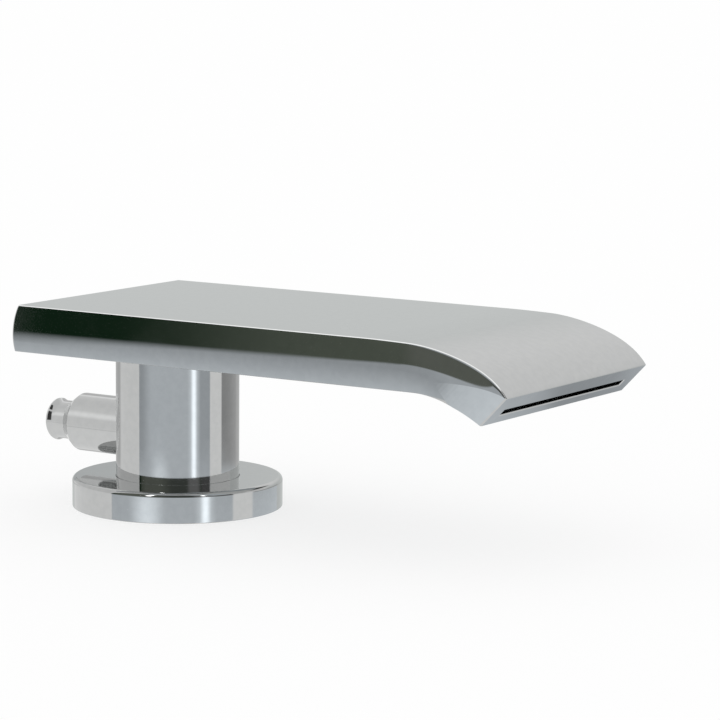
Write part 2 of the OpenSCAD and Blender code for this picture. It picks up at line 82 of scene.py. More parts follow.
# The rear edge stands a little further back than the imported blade, as in the photograph
REAR_OUT = 0.5
REAR_X = lowest("spout_shell").x - REAR_OUT
BLADE_W = 88.0
BLADE_T = 15.0
LIP_T = 12.5
BLADE_BOTTOM_Z = TOP_Z - BLADE_T
BEND_R = 51.0
BEND_A = 44.0
UNDER_R = 35.0
SIDE_R = 15.5
SIDE_DROP = 9.3
SHELL_WALL = 2.0
END_WALL = 4.0
SLOT_W = 75.0
SLOT_H = 2.5
SLOT_DROP = 6.3
PLATE_LEDGE = 3.0
BOSS_TIP_R = 9.05
FIT_GAP = 0.05
REBATE_GAP = 0.01
TOP_EDGE_R = 1.2
UNDER_EDGE_R = 0.4
REAR_EDGE_R = 0.6
REAR_TOP_R = 0.5
LIP_BEVEL = 0.3
# Distance behind the outlet at which the sides start to draw in, along an arc
FLANK_L = 19.5
FLANK_STEPS = 16
# The top bends more gently at first than a plain arc, and more sharply at the outlet. The first two
# place, as shares of the bend, where that starts and where the top crosses the plain arc. The third
# sets how far it departs from the arc.
EASE_START = -0.45
EASE_CROSS = 0.54
EASE_RISE = 6.2
EASE_STEPS = 24

# Worked out from the blade's sizes, as in the part's source, which has no arc of radius FLANK_R
BEND_X = REACH - BEND_R * math.sin(math.radians(BEND_A))
BEND_CZ = TOP_Z - BEND_R
BEND_L = BEND_R * math.radians(BEND_A)
OUTLET_Z = BEND_CZ + BEND_R * math.cos(math.radians(BEND_A))
UNDER_END_X = REACH - LIP_T * math.sin(math.radians(BEND_A))
UNDER_DROP = BLADE_BOTTOM_Z - OUTLET_Z + LIP_T * math.cos(math.radians(BEND_A))
UNDER_X = UNDER_END_X - UNDER_R * math.sin(math.acos(1 - UNDER_DROP / UNDER_R))
UNDER_CZ = BLADE_BOTTOM_Z - UNDER_R
SIDE_Y = BLADE_W / 2 - math.sqrt(SIDE_R**2 - SIDE_DROP**2)
WIDEST_Y = SIDE_Y + SIDE_R
FLANK_IN = WIDEST_Y - BLADE_W / 2
FLANK_R = (FLANK_L**2 + FLANK_IN**2) / 2 / FLANK_IN
TRIM_A = math.degrees(math.atan(FLANK_IN / (BEND_R / 2)))
END_WALL_A = 2 * math.degrees(math.asin(END_WALL / 2 / BEND_R))

# Column and flange
COLUMN_R = highest("column_tube").y
COLUMN_WALL = 2.0
COLUMN_GAP = 0.02
COLUMN_TOP_Z = BLADE_BOTTOM_Z - COLUMN_GAP
COLUMN_EDGE_R = 0.25
FLANGE_R = highest("base_flange").y
FLANGE_H = highest("base_flange").z
FLANGE_LIP = lowest("column_tube").z
FLANGE_BORE_R = 17.0
FLANGE_SEAT_GAP = 0.1
FLANGE_SEAT_R = COLUMN_R + FLANGE_SEAT_GAP
FLANGE_EDGE_R = 1.5
FLANGE_SEAT_EDGE_R = 0.15
FLANGE_FOOT_R = 0.3
GASKET_OFF = 1.75
GASKET_W = 9.0
GASKET_H = 3.0
GASKET_IN_R = COLUMN_R + GASKET_OFF
GASKET_OUT_R = GASKET_IN_R + GASKET_W

# Bonnet and pull knob, with distances behind the column's axis
AXIS_Z = (highest("diverter_bonnet").z + lowest("diverter_bonnet").z) / 2
BONNET_R = highest("diverter_bonnet").y
BONNET_START = 12.0
BONNET_CHAMFER = 39.1
BONNET_END = -lowest("diverter_bonnet").x
BONNET_BORE_R = 7.75
BONNET_GAP = 0.1
BONNET_FACE_W = 0.4
BONNET_EDGE_R = 0.25
BONNET_FACE_EDGE_R = 0.12
BONNET_MOUTH_EDGE_R = 0.1
STEM_R = 6.5
STEM_GAP = 0.1
STEM_START = 31.0
STEM_EDGE = 0.3
SPINDLE_BORE_R = 2.6
SPINDLE_BORE_END = 30.8
KNOB_END = -lowest("diverter_knob").x
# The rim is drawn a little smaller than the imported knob, as in the photograph
KNOB_RIM_IN = 0.2
KNOB_RIM_R = highest("diverter_knob").y - KNOB_RIM_IN
KNOB_EDGE_R = 1.15
KNOB_FLARE_L = 2.6

# Threads, nuts, tails and spring, of which a box gives only the outside
SHANK_R = 16.5
SHANK_HEAD_R = 18.4
SHANK_BORE_R = 13.8
SHANK_BORE_CHAMFER = 0.4
SHANK_THREAD = 0.9
SHANK_PITCH = 1.5
# The groove above the shank's thread and the cone that leads out of it
SHANK_NECK_TOP = 0.6
SHANK_CONE_TOP = 1.4
WASHER_GAP = 0.2
# Radius of a nut's flat face as a share of its width across flats, and the slope of its chamfers
NUT_FACE = 0.478
NUT_CHAMFER_A = 30
TAIL_R = 6.0
TAIL_WALL = 1.0
TAIL_X = highest("hose_tail").x - TAIL_R
UNION_R = 10.48
UNION_THREAD = 1.16
UNION_PITCH = 1.814
UNION_HEX_H = 8.0
# A thread's profile, as shares of its pitch and its depth
THREAD_PROFILE = ((0.0, 0), (0.125, 0), (0.5, 1), (0.625, 1))
SPRING_WIRE_R = 0.25
SPRING_TURNS = 7
# Turns at each end of the spring that lie against each other
SPRING_CLOSED = 0.8

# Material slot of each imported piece, and the turned pieces whose lathe marks run round the X axis
SLOT_OF = {row["node"]: row["material_slot"] for row in frame["record"]["subparts"]}
TURNED_ON_X = {
    "spout_seat", "gland_bush", "diverter_disc", "disc_nut", "diverter_spindle", "spout_grub_screw",
}

# Fineness of the meshes
ROUND_STEPS = 192
FLANGE_STEPS = 256
WASHER_STEPS = 128
THREAD_STEPS = 96
HOLE_STEPS = 64
FILLET_STEPS = 6
BONNET_FILLET_STEPS = 8
TOP_EDGE_STEPS = 10
SIDE_STEPS = 48
UNDER_EDGE_STEPS = 8
REAR_STEPS = 8
KNOB_STEPS = 12
SPRING_STEPS = 48
WIRE_STEPS = 12
BEND_STEP = 0.45
STRAIGHT_STEP = 8
# How far a cutter reaches past what it cuts
PAST = 1.0
# Distances below which points count as one, and the cosine above which two normals do
TINY = 1e-5
WELD_DIST = 1e-4
SAME_NORMAL = 0.99999

PIECES = []


def arc(centre, radius, start, end, steps):
    """Points on an arc, with both of its ends, angles counter-clockwise from the first axis."""
    turns = [math.radians(start + (end - start) * i / steps) for i in range(steps + 1)]
    return [(centre[0] + radius * math.cos(t), centre[1] + radius * math.sin(t)) for t in turns]


def mesh_object(name, bm):
    """A new object from a bmesh in millimetres, with outward normals."""
    bmesh.ops.recalc_face_normals(bm, faces=bm.faces)
    bmesh.ops.scale(bm, vec=(MM, MM, MM), verts=bm.verts)
    mesh = bpy.data.meshes.new(name)
    bm.to_mesh(mesh)
    bm.free()
    obj = bpy.data.objects.new(name, mesh)
    bpy.context.scene.collection.objects.link(obj)
    return obj


def smooth(obj, sharp, flat_normals):
    """Smooth shading, with sharp edges past an angle and round the faces that have a listed normal."""
    bm = bmesh.new()
    bm.from_mesh(obj.data)
    for face in bm.faces:
        face.smooth = True
    limit = math.radians(sharp)
    for edge in bm.edges:
        if len(edge.link_faces) != 2:
            edge.smooth = False
            continue
        flats = [any(f.normal.dot(n) > SAME_NORMAL for n in flat_normals) for f in edge.link_faces]
        edge.smooth = edge.calc_face_angle(0) < limit and flats[0] == flats[1]
    bm.to_mesh(obj.data)
    bm.free()
    weighted = obj.modifiers.new("weighted", "WEIGHTED_NORMAL")
    weighted.keep_sharp = True


def settle(obj, node, body, sharp=12.0, flat_normals=()):
    """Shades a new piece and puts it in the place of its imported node."""
    PIECES.append((obj, node))
    smooth(obj, sharp, flat_normals)
    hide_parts(node)
    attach(obj, body)


def subtract(obj, cutters):
    """Cuts the cutters out of obj and deletes them."""
    for cutter in cutters:
        cut = obj.modifiers.new("cut", "BOOLEAN")
        cut.object = cutter
        cut.solver = "EXACT"
    bpy.context.view_layer.update()
    shaped = obj.evaluated_get(bpy.context.evaluated_depsgraph_get())
    old = obj.data
    obj.data = bpy.data.meshes.new_from_object(shaped)
    obj.data.name = obj.name
    obj.modifiers.clear()
    bpy.data.meshes.remove(old)
    for cutter in cutters:
        bpy.data.objects.remove(cutter)


def loft(bm, rings):
    """Skins a list of closed rings of points and caps both ends."""
    rows = [[bm.verts.new(p) for p in ring] for ring in rings]
    count = len(rows[0])
    for a, b in zip(rows, rows[1:]):
        for k in range(count):
            n = (k + 1) % count
            bm.faces.new((a[k], a[n], b[n], b[k]))
    bm.faces.new(rows[0])
    bm.faces.new(rows[-1])


def loft_cutter(rings):
    """A cutter skinned over closed rings of points."""
    bm = bmesh.new()
    loft(bm, rings)
    return mesh_object("cutter", bm)


def box_cutter(corner_a, corner_b, place):
    """A box between two opposite corners, each point carried through place."""
    (x0, y0, z0), (x1, y1, z1) = corner_a, corner_b
    return loft_cutter([
        [place(x, y0, z0), place(x, y1, z0), place(x, y1, z1), place(x, y0, z1)]
        for x in (x0, x1)
    ])


def as_is(x, y, z):
    """A point in the object's own frame."""
    return Vector((x, y, z))


def at_outlet(x, y, z):
    """A point in the outlet's frame: +X out of the face, +Z up along it from its top edge."""
    turn = math.radians(BEND_A)
    return Vector((
        REACH + x * math.cos(turn) + z * math.sin(turn),
        y,
        OUTLET_Z - x * math.sin(turn) + z * math.cos(turn),
    ))


def outlet_direction(x, y, z):
    """A direction in the outlet's frame."""
    return at_outlet(x, y, z) - at_outlet(0, 0, 0)


def upright(r, turn, z):
    """A point at a height, round the column's axis."""
    return Vector((r * math.cos(turn), r * math.sin(turn), z))


def rearward(r, turn, s):
    """A point s behind the column's axis, round the knob's axis."""
    return Vector((-s, r * math.cos(turn), AXIS_Z + r * math.sin(turn)))


def rounded(corners, steps=FILLET_STEPS):
    """A closed outline from corners of (r, s) or (r, s, fillet)."""
    points = []
    count = len(corners)
    for i, corner in enumerate(corners):
        here = Vector(corner[:2])
        fillet = corner[2] if len(corner) > 2 else 0
        if not fillet:
            points.append(tuple(here))
            continue
        back = (Vector(corners[i - 1][:2]) - here).normalized()
        ahead = (Vector(corners[(i + 1) % count][:2]) - here).normalized()
        half = back.angle(ahead) / 2
        centre = here + (back + ahead).normalized() * fillet / math.sin(half)
        first = here + back * fillet / math.tan(half) - centre
        last = here + ahead * fillet / math.tan(half) - centre
        turn = first.angle_signed(last)
        for k in range(steps + 1):
            a = -turn * k / steps
            spun = Vector((
                first.x * math.cos(a) - first.y * math.sin(a),
                first.x * math.sin(a) + first.y * math.cos(a),
            ))
            points.append(tuple(centre + spun))
    return points


def turn_round(bm, outline, place, steps, closed=True):
    """Turns an outline of (radius, place along the axis) round an axis.

    The outline is a list, or a function of the angle that always gives as many points.
    """
    turns = [2 * math.pi * k / steps for k in range(steps)]
    outlines = [outline(turn) if callable(outline) else outline for turn in turns]
    rings = []
    for i, (r, s) in enumerate(outlines[0]):
        if r == 0:
            rings.append([bm.verts.new(place(0, 0, s))])
        else:
            rings.append([
                bm.verts.new(place(points[i][0], turn, points[i][1]))
                for points, turn in zip(outlines, turns)
            ])
    for a, b in zip(rings, rings[1:] + rings[:1] if closed else rings[1:]):
        for k in range(steps):
            n = (k + 1) % steps
            if len(a) == 1 and len(b) == 1:
                break
            if len(a) == 1:
                bm.faces.new((a[0], b[n], b[k]))
            elif len(b) == 1:
                bm.faces.new((a[k], a[n], b[0]))
            else:
                bm.faces.new((a[k], a[n], b[n], b[k]))


def lathe(name, outline, place, steps=ROUND_STEPS):
    """A new object turned from a closed outline."""
    bm = bmesh.new()
    turn_round(bm, outline, place, steps)
    return mesh_object(name, bm)


def disc_cutter(r, s0, s1, place, steps=HOLE_STEPS):
    """A round cutter between two places along an axis."""
    return lathe("cutter", [(0, s0), (r, s0), (r, s1), (0, s1)], place, steps)


def hexagon(flats, s0, s1):
    """Outline of a hexagonal nut at an angle, with both of its faces chamfered from a circle."""
    face_r = flats * NUT_FACE

    def outline(turn):
        r = flats / 2 / math.cos(turn % (math.pi / 3) - math.pi / 6)
        drop = (r - face_r) * math.tan(math.radians(NUT_CHAMFER_A))
        return [(face_r, s0), (r, s0 + drop), (r, s1 - drop), (face_r, s1)]
    return outline


def add_thread(bm, crest_r, depth, pitch, z0, z1, place):
    """A helical thread between two heights, run out to its root at both ends."""
    root = crest_r - depth
    rows = len(THREAD_PROFILE)
    # More laps than the height holds, so that the thread covers both of its ends
    laps = math.ceil((z1 - z0) / pitch) + 3

    def vertex(k, j):
        lap, part = divmod(j, rows)
        rise, out = THREAD_PROFILE[part]
        z = z0 + pitch * (lap - 1 + rise + k / THREAD_STEPS)
        z = min(max(z, z0), z1)
        r = min(root + depth * out, root + z - z0, root + z1 - z)
        return bm.verts.new(place(r, 2 * math.pi * k / THREAD_STEPS, z))

    columns = [[vertex(k, j) for j in range(rows * laps)] for k in range(THREAD_STEPS)]
    for k, column in enumerate(columns):
        ahead = columns[k + 1] if k + 1 < THREAD_STEPS else columns[0][rows:]
        for j in range(len(ahead) - 1):
            bm.faces.new((column[j], ahead[j], ahead[j + 1], column[j + 1]))


def weld(bm):
    """Joins points that lie on each other and drops the faces that this leaves without area."""
    bmesh.ops.remove_doubles(bm, verts=bm.verts, dist=WELD_DIST)
    bmesh.ops.dissolve_degenerate(bm, edges=bm.edges, dist=TINY)


def under_depth(turn, inset):
    """Depth of the underside below the top, measured towards the bend's centre at an angle."""
    out = Vector((math.sin(turn), math.cos(turn)))
    flat = (BLADE_BOTTOM_Z + inset - BEND_CZ) / out.y
    if BEND_X + flat * out.x <= UNDER_X:
        return BEND_R - flat
    offset = Vector((BEND_X - UNDER_X, BEND_CZ - UNDER_CZ))
    along = out.dot(offset)
    reach = -along + math.sqrt(along**2 - offset.length_squared + (UNDER_R + inset) ** 2)
    return BEND_R - reach


def half_section(top, bottom, inset, fillet):
    """One side of the blade's section as (y, depth): top fillet, swelling side, bottom fillet."""
    radius = SIDE_R - inset
    under = min(fillet, UNDER_EDGE_R)
    rise = SIDE_DROP - top - fillet
    fall = bottom - under - SIDE_DROP
    up = math.asin(rise / (radius - fillet))
    down = -math.asin(fall / (radius - under))
    top_y = SIDE_Y + (radius - fillet) * math.cos(up)
    bottom_y = SIDE_Y + (radius - under) * math.cos(down)
    up = math.degrees(up)
    down = math.degrees(down)
    points = arc((top_y, -top - fillet), fillet, 90, up, TOP_EDGE_STEPS)[:-1]
    points += arc((SIDE_Y, -SIDE_DROP), radius, up, down, SIDE_STEPS)
    points += arc((bottom_y, under - bottom), under, down, -90, UNDER_EDGE_STEPS)[1:]
    return [(y, -depth) for y, depth in points]


def top_rise(along):
    """How far the top stands out from a plain arc, at a share of the bend's length."""
    if along <= EASE_START:
        return 0.0
    return EASE_RISE * (along - EASE_START) ** 3 * (along - EASE_CROSS) * (1 - along)


def blade_rings(inset, fillet, end_a):
    """Rings of points round the blade, from its rear end to its outlet."""
    rings = []

    def add(place, bottom, along, in_y=0.0, in_z=0.0):
        half = half_section(inset, bottom, inset, fillet)
        top = inset + in_z - top_rise(along)
        squeeze = (bottom - in_z - top) / (bottom - inset)
        shaped = [(y * (1 - in_y / WIDEST_Y), top + (depth - inset) * squeeze) for y, depth in half]
        whole = shaped + [(-y, depth) for y, depth in reversed(shaped)]
        rings.append([place(y, depth) for y, depth in whole])

    def straight(x):
        return lambda y, depth: Vector((x, y, TOP_Z - depth))

    def bent(turn):
        return lambda y, depth: Vector((
            BEND_X + (BEND_R - depth) * math.sin(turn), y, BEND_CZ + (BEND_R - depth) * math.cos(turn)
        ))

    def tuck(radius, gone):
        """How far a rounded end draws in at a distance from it."""
        return radius - math.sqrt(radius**2 - max(radius - gone, 0) ** 2)

    # The rear end is rounded on the blade itself, but not on the hollow
    edge_r, edge_top_r = (REAR_EDGE_R, REAR_TOP_R) if inset == 0 else (0.0, 0.0)
    ends = {
        radius * (1 - math.cos(math.radians(90 * i / REAR_STEPS)))
        for radius in (edge_r, edge_top_r)
        for i in range(REAR_STEPS + 1)
    }
    start = REAR_X + inset
    for gone in sorted(ends):
        add(
            straight(start + gone), BLADE_T - inset, EASE_START,
            tuck(edge_r, gone), tuck(edge_top_r, gone),
        )
    ease_x = BEND_X + EASE_START * BEND_L
    first = math.ceil(start + max(ends)) + STRAIGHT_STEP // 2
    for x in range(first, int(ease_x), STRAIGHT_STEP):
        add(straight(x), BLADE_T - inset, EASE_START)
    for i in range(EASE_STEPS):
        along = EASE_START * (1 - i / EASE_STEPS)
        add(straight(BEND_X + along * BEND_L), BLADE_T - inset, along)
    count = round(BEND_R * math.radians(end_a) / BEND_STEP)
    for i in range(count + 1):
        turn = math.radians(end_a * i / count)
        add(bent(turn), under_depth(turn, inset), BEND_R * turn / BEND_L)
    return rings


def slice_off(bm, point, normal):
    """Cuts away what lies past a plane and closes the cut with a flat face."""
    bmesh.ops.bisect_plane(
        bm, geom=bm.verts[:] + bm.edges[:] + bm.faces[:], plane_co=point, plane_no=normal,
        dist=TINY, clear_outer=True,
    )
    rim = [e for e in bm.edges if e.is_boundary]
    bmesh.ops.holes_fill(bm, edges=rim, sides=0)


def side_planes(inset, arced):
    """Planes that draw the blade's sides in towards the outlet: along an arc, or straight."""
    if arced:
        span = math.asin(FLANK_L / FLANK_R)
        turns = [span * (i + 1) / FLANK_STEPS for i in range(FLANK_STEPS)]
        edge = WIDEST_Y - FLANK_R
        cuts = [(FLANK_R * math.sin(a) - FLANK_L, edge + FLANK_R * math.cos(a), a) for a in turns]
    else:
        cuts = [(0.0, BLADE_W / 2 - inset, math.radians(TRIM_A))]
    return [
        (at_outlet(x, side * y, 0), outlet_direction(math.sin(a), side * math.cos(a), 0))
        for x, y, a in cuts for side in (-1, 1)
    ]


def blade_form(inset, fillet, end_a, planes):
    """The blade's outer form, or its hollow when inset is the wall."""
    bm = bmesh.new()
    loft(bm, blade_rings(inset, fillet, end_a))
    for point, normal in planes:
        slice_off(bm, point, normal)
    return bm


def slot_cutters():
    """The outlet's slot, and the bevel round its mouth."""
    slot_low = -SLOT_DROP - SLOT_H
    slot = box_cutter(
        (-END_WALL - PAST, -SLOT_W / 2, slot_low), (PAST, SLOT_W / 2, -SLOT_DROP), at_outlet
    )
    rings = []
    for x, grow in ((-LIP_BEVEL, 0.0), (LIP_BEVEL, 2 * LIP_BEVEL)):
        half = SLOT_W / 2 + grow
        bottom = slot_low - grow
        top = grow - SLOT_DROP
        corners = ((-half, bottom), (half, bottom), (half, top), (-half, top))
        rings.append([at_outlet(x, y, z) for y, z in corners])
    return [slot, loft_cutter(rings)]


def build_blade():
    """The hollow blade, with its outlet slot, and its closing plate's seat and the boss's hole below."""
    flanks = side_planes(0, True)
    bm = blade_form(0, TOP_EDGE_R, BEND_A, flanks)
    tuck = LIP_BEVEL / 2
    for side in (-1, 1):
        slice_off(bm, at_outlet(-tuck, side * (BLADE_W / 2 - tuck), 0), outlet_direction(1, side, 0))
    slice_off(bm, at_outlet(-tuck / 2, 0, -tuck / 2), outlet_direction(1, 0, 1))
    slice_off(bm, at_outlet(-tuck / 2, 0, -LIP_T + tuck / 2), outlet_direction(1, 0, -1))
    blade = mesh_object("blade", bm)

    hollow = mesh_object("cutter", blade_form(
        SHELL_WALL, FIT_GAP, BEND_A - END_WALL_A, side_planes(SHELL_WALL, False)
    ))
    cut_low = BLADE_BOTTOM_Z - PAST
    cut_high = BLADE_BOTTOM_Z + SHELL_WALL + PAST
    plate_low = lowest("spout_underside")
    plate_high = highest("spout_underside")
    rebate = box_cutter(
        (plate_low.x - FIT_GAP, plate_low.y - FIT_GAP, cut_low),
        (plate_high.x + FIT_GAP, plate_high.y + FIT_GAP, plate_high.z + REBATE_GAP),
        as_is,
    )
    ledge = PLATE_LEDGE - FIT_GAP
    opening = box_cutter(
        (plate_low.x + ledge, plate_low.y + ledge, cut_low),
        (plate_high.x - ledge, plate_high.y - ledge, cut_high),
        as_is,
    )
    boss_hole = disc_cutter(BOSS_TIP_R, cut_low, cut_high, upright)
    subtract(blade, [hollow, *slot_cutters(), rebate, opening, boss_hole])
    settle(blade, "spout_shell", "spout", flat_normals=[normal for point, normal in flanks])


def build_column():
    """The column, bored behind for the bonnet."""
    outline = rounded([
        (COLUMN_R - COLUMN_WALL, FLANGE_LIP), (COLUMN_R, FLANGE_LIP),
        (COLUMN_R, COLUMN_TOP_Z, COLUMN_EDGE_R), (COLUMN_R - COLUMN_WALL, COLUMN_TOP_Z),
    ])
    column = lathe("column", outline, upright)
    bore = disc_cutter(BONNET_R + BONNET_GAP, COLUMN_R / 2, COLUMN_R + PAST, rearward, 2 * HOLE_STEPS)
    subtract(column, [bore])
    settle(column, "column_tube", "spout")
    return column


def build_flange():
    """The flange, with a groove below for its gasket."""
    outline = rounded([
        (FLANGE_BORE_R, 0), (GASKET_IN_R, 0), (GASKET_IN_R, GASKET_H), (GASKET_OUT_R, GASKET_H),
        (GASKET_OUT_R, 0), (FLANGE_R, 0, FLANGE_FOOT_R), (FLANGE_R, FLANGE_H, FLANGE_EDGE_R),
        (FLANGE_SEAT_R, FLANGE_H, FLANGE_SEAT_EDGE_R), (FLANGE_SEAT_R, FLANGE_LIP),
        (FLANGE_BORE_R, FLANGE_LIP),
    ], 2 * FILLET_STEPS)
    flange = lathe("flange", outline, upright, FLANGE_STEPS)
    settle(flange, "base_flange", "spout")
    return flange


def build_bonnet():
    """The round arm that the knob's stem slides in, chamfered towards the knob."""
    bore_r = STEM_R + STEM_GAP
    outline = rounded([
        (BONNET_BORE_R, BONNET_START), (BONNET_R, BONNET_START),
        (BONNET_R, BONNET_CHAMFER, BONNET_EDGE_R),
        (bore_r + BONNET_FACE_W, BONNET_END, BONNET_FACE_EDGE_R),
        (bore_r, BONNET_END, BONNET_MOUTH_EDGE_R), (bore_r, SPINDLE_BORE_END),
        (SPINDLE_BORE_R, SPINDLE_BORE_END), (SPINDLE_BORE_R, BONNET_START),
    ], BONNET_FILLET_STEPS)
    bonnet = lathe("bonnet", outline, rearward)
    settle(bonnet, "diverter_bonnet", "spout")
    return bonnet


def build_knob():
    """The knob's stem, which flares in an arc to a rounded rim."""
    rim_s = KNOB_END - KNOB_EDGE_R
    out = KNOB_RIM_R - STEM_R
    flare_r = (KNOB_FLARE_L**2 + out**2) / 2 / out
    span = math.degrees(math.asin(KNOB_FLARE_L / flare_r))
    flare = arc((STEM_R + flare_r, rim_s - KNOB_FLARE_L), flare_r, 180, 180 - span, KNOB_STEPS)
    edge = arc((KNOB_RIM_R - KNOB_EDGE_R, rim_s), KNOB_EDGE_R, 0, 90, KNOB_STEPS)
    stem = [(0, STEM_START), (STEM_R - STEM_EDGE, STEM_START), (STEM_R, STEM_START + STEM_EDGE)]
    knob = lathe("knob", stem + flare + edge[1:] + [(0, KNOB_END)], rearward)
    settle(knob, "diverter_knob", "diverter")
    return knob


def build_washer(name, node, edge_r):
    """A flat washer with its edges eased."""
    bottom = lowest(node).z
    top = highest(node).z
    rim = highest(node).x
    hole = SHANK_R + WASHER_GAP
    outline = rounded([
        (hole, bottom, edge_r), (rim, bottom, edge_r), (rim, top, edge_r), (hole, top, edge_r),
    ])
    washer = lathe(name, outline, upright, WASHER_STEPS)
    settle(washer, node, "spout", sharp=25.0)


def build_shank():
    """The threaded shank, with its head inside the column's foot."""
    bottom = lowest("threaded_shank").z
    top = highest("threaded_shank").z
    root = SHANK_R - SHANK_THREAD
    bm = bmesh.new()
    add_thread(bm, SHANK_R, SHANK_THREAD, SHANK_PITCH, bottom, 0, upright)
    turn_round(bm, [
        (root, 0), (root, SHANK_NECK_TOP), (SHANK_R, SHANK_CONE_TOP), (SHANK_R, FLANGE_LIP),
        (SHANK_HEAD_R, FLANGE_LIP), (SHANK_HEAD_R, top), (SHANK_BORE_R, top),
        (SHANK_BORE_R, bottom + SHANK_BORE_CHAMFER), (SHANK_BORE_R + SHANK_BORE_CHAMFER, bottom),
        (root, bottom),
    ], upright, THREAD_STEPS, closed=False)
    weld(bm)
    shank = mesh_object("shank", bm)
    settle(shank, "threaded_shank", "spout", sharp=20.0)


def build_back_nut():
    """The hexagonal nut that clamps the deck from below."""
    bottom = lowest("back_nut").z
    top = highest("back_nut").z
    hole = SHANK_R + FIT_GAP
    faces = hexagon(highest("back_nut").y * 2, bottom, top)
    nut = lathe(
        "back_nut_hex", lambda turn: [(hole, top), (hole, bottom)] + faces(turn), upright, THREAD_STEPS
    )
    settle(nut, "back_nut", "spout")


def build_unions():
    """Both tail unions: a hexagon over a pipe thread, each bored and socketed for its tail."""
    bottom = lowest("tail_unions").z
    top = highest("tail_unions").z
    hex_z = top - UNION_HEX_H
    socket_z = lowest("inlet_tail").z
    socket_r = TAIL_R + FIT_GAP
    bore_r = TAIL_R - TAIL_WALL
    root = UNION_R - UNION_THREAD
    faces = hexagon(highest("tail_unions").y * 2, hex_z, top)
    bm = bmesh.new()
    for x in (-TAIL_X, TAIL_X):
        def place(r, turn, z, x=x):
            return Vector((x, 0, 0)) + upright(r, turn, z)
        add_thread(bm, UNION_R, UNION_THREAD, UNION_PITCH, bottom, hex_z, place)
        turn_round(bm, lambda turn: [(root, hex_z)] + faces(turn) + [
            (socket_r, top), (socket_r, socket_z), (bore_r, socket_z), (bore_r, bottom), (root, bottom),
        ], place, THREAD_STEPS, closed=False)
    weld(bm)
    unions = mesh_object("unions", bm)
    settle(unions, "tail_unions", "spout", sharp=20.0)


def build_spring():
    """The return spring, wound from round wire with its end turns closed."""
    start = lowest("return_spring").x + SPRING_WIRE_R
    length = highest("return_spring").x - SPRING_WIRE_R - start
    coil_r = highest("return_spring").y - SPRING_WIRE_R
    wire_d = 2 * SPRING_WIRE_R
    open_turns = SPRING_TURNS - 2 * SPRING_CLOSED
    pitch = (length - 2 * SPRING_CLOSED * wire_d) / open_turns
    count = SPRING_TURNS * SPRING_STEPS
    rows = []
    for i in range(count + 1):
        lap = SPRING_TURNS * i / count
        open_laps = min(max(lap - SPRING_CLOSED, 0.0), open_turns)
        x = start + wire_d * (lap - open_laps) + pitch * open_laps
        out = Vector((0, math.cos(2 * math.pi * lap), math.sin(2 * math.pi * lap)))
        centre = Vector((x, 0, AXIS_Z)) + out * coil_r
        rows.append([
            centre + SPRING_WIRE_R * (out * math.cos(t) + Vector((math.sin(t), 0, 0)))
            for t in (2 * math.pi * k / WIRE_STEPS for k in range(WIRE_STEPS))
        ])
    bm = bmesh.new()
    loft(bm, rows)
    spring = mesh_object("spring", bm)
    settle(spring, "return_spring", "spout", sharp=45.0)
    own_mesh(spring)


def add_camera():
    """The photograph's camera."""
    data = bpy.data.cameras.new("camera")
    data.sensor_width = SENSOR_W
    data.lens = CAMERA_LENS
    data.clip_end = CAMERA_FAR_M
    camera = bpy.data.objects.new("camera", data)
    turn = Matrix.Rotation(math.radians(-CAMERA_YAW), 4, "Z")
    tilt = Matrix.Rotation(math.radians(90 + CAMERA_PITCH), 4, "X")
    roll = Matrix.Rotation(math.radians(CAMERA_ROLL), 4, "Z")
    camera.matrix_world = Matrix.Translation(Vector(CAMERA_AT) * MM) @ turn @ tilt @ roll
    bpy.context.scene.collection.objects.link(camera)
    bpy.context.scene.camera = camera


# Where a mix node of the colour kind has its factor and its two colours, and its result
COLOUR_MIX_INPUTS = (0, 6, 7)
COLOUR_MIX_OUTPUT = 2


